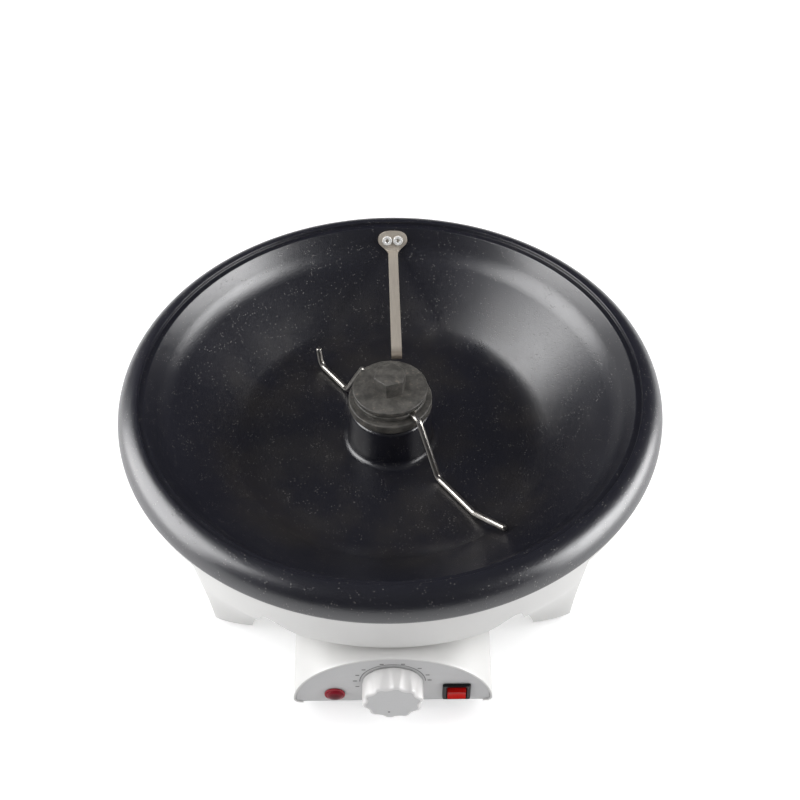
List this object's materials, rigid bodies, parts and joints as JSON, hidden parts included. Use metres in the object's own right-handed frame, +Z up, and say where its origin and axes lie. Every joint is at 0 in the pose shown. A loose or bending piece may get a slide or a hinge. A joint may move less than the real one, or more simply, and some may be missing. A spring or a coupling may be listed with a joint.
{
  "type": "coffee roaster",
  "caption": "Round open coffee bean roasting pan with a powered stirrer and a fixed baffle strip, on a white four-legged stand with a control tunnel carrying a knob, lamp and rocker switch.",
  "frame": {"origin": "centre of the whole outline, on the floor under the feet", "axes": "+Z up, -Y towards the control panel, +X to the right seen from the panel side"},
  "size_m": [0.3466, 0.3574, 0.1109],
  "materials": {
    "pan_coating": "black non-stick coating on cast aluminium",
    "white_plastic": "satin moulded",
    "white_enamel": "gloss",
    "grey_plastic": "matte",
    "hub_plastic": "matte",
    "stainless": "dull",
    "bright_steel": "zinc plated",
    "aluminised": "aluminised",
    "element_sheath": "heat darkened",
    "ceramic": "unglazed ceramic",
    "bronze": "sintered",
    "brass": "bright",
    "copper": "copper",
    "magnet": "sintered",
    "rubber": "matte",
    "black_plastic": "moulded",
    "nylon": "moulded",
    "red_lens": "clear red",
    "red_rocker": "gloss"
  },
  "bodies": {
    "stand": {"baffle_strip": "stainless", "base_bowl": "white_enamel", "bottom_plate": "bright_steel", "bowl_screw_1": "bright_steel", "bowl_screw_2": "bright_steel", "bowl_screw_3": "bright_steel", "bowl_screw_4": "bright_steel", "control_housing": "white_plastic", "control_panel": "grey_plastic", "cord_gland": "rubber", "gear_case": "black_plastic", "gear_case_lid": "black_plastic", "heat_reflector": "aluminised", "heater_bush_left": "ceramic", "heater_bush_right": "ceramic", "heater_ring": "element_sheath", "housing_shell": "white_plastic", "lamp_lens": "red_lens", "lamp_nut": "nylon", "lower_bush": "bronze", "motor_can": "bright_steel", "pan_screw_1": "bright_steel", "pan_screw_2": "bright_steel", "pan_screw_3": "bright_steel", "pan_screw_4": "bright_steel", "pan_standoff_1": "bright_steel", "pan_standoff_2": "bright_steel", "pan_standoff_3": "bright_steel", "pan_standoff_4": "bright_steel", "plate_screw_1": "bright_steel", "plate_screw_2": "bright_steel", "plate_screw_3": "bright_steel", "plate_screw_4": "bright_steel", "roasting_pan": "pan_coating", "rubber_foot_front_left": "rubber", "rubber_foot_front_right": "rubber", "rubber_foot_rear_left": "rubber", "rubber_foot_rear_right": "rubber", "sensor_bulb": "copper", "stator_coil": "copper", "strip_rivet_left": "stainless", "strip_rivet_right": "stainless", "switch_body": "black_plastic", "terminal_block": "black_plastic", "thermal_fuse": "bright_steel", "thermostat_body": "bright_steel", "thermostat_capillary": "copper", "thermostat_nut": "bright_steel", "upper_bush": "bronze"},
    "stirrer": {"stirrer_cap": "hub_plastic", "stirrer_collar": "hub_plastic", "stirrer_arm_front": "stainless", "stirrer_arm_rear": "stainless", "drive_shaft": "bright_steel", "output_gear": "nylon"},
    "rotor": {"motor_rotor": "magnet", "motor_pinion": "brass"},
    "knob": {"control_knob": "white_plastic", "thermostat_spindle": "bright_steel"},
    "rocker": {"switch_rocker": "red_rocker"}
  },
  "joints": [
    {"name": "stirrer_turn", "type": "hinge", "parent": "stand", "child": "stirrer", "pos_m": [0, 0.00535, 0.09], "axis": [0, 0, 1], "continuous": true},
    {"name": "rotor_turn", "type": "hinge", "parent": "stand", "child": "rotor", "pos_m": [0, 0.03535, 0.02], "axis": [0, 0, 1], "continuous": true},
    {"name": "knob_turn", "type": "hinge", "parent": "stand", "child": "knob", "pos_m": [0, -0.16545, 0.027], "axis": [0, 1, 0], "range_deg": [0, 265]},
    {"name": "rocker_tilt", "type": "hinge", "parent": "stand", "child": "rocker", "pos_m": [0.0376, -0.16515, 0.0165], "axis": [-1, 0, 0], "range_deg": [0, 16]}
  ],
  "couplings": [
    {"joint": "rotor_turn", "follows": "stirrer_turn", "ratio": -4}
  ]
}
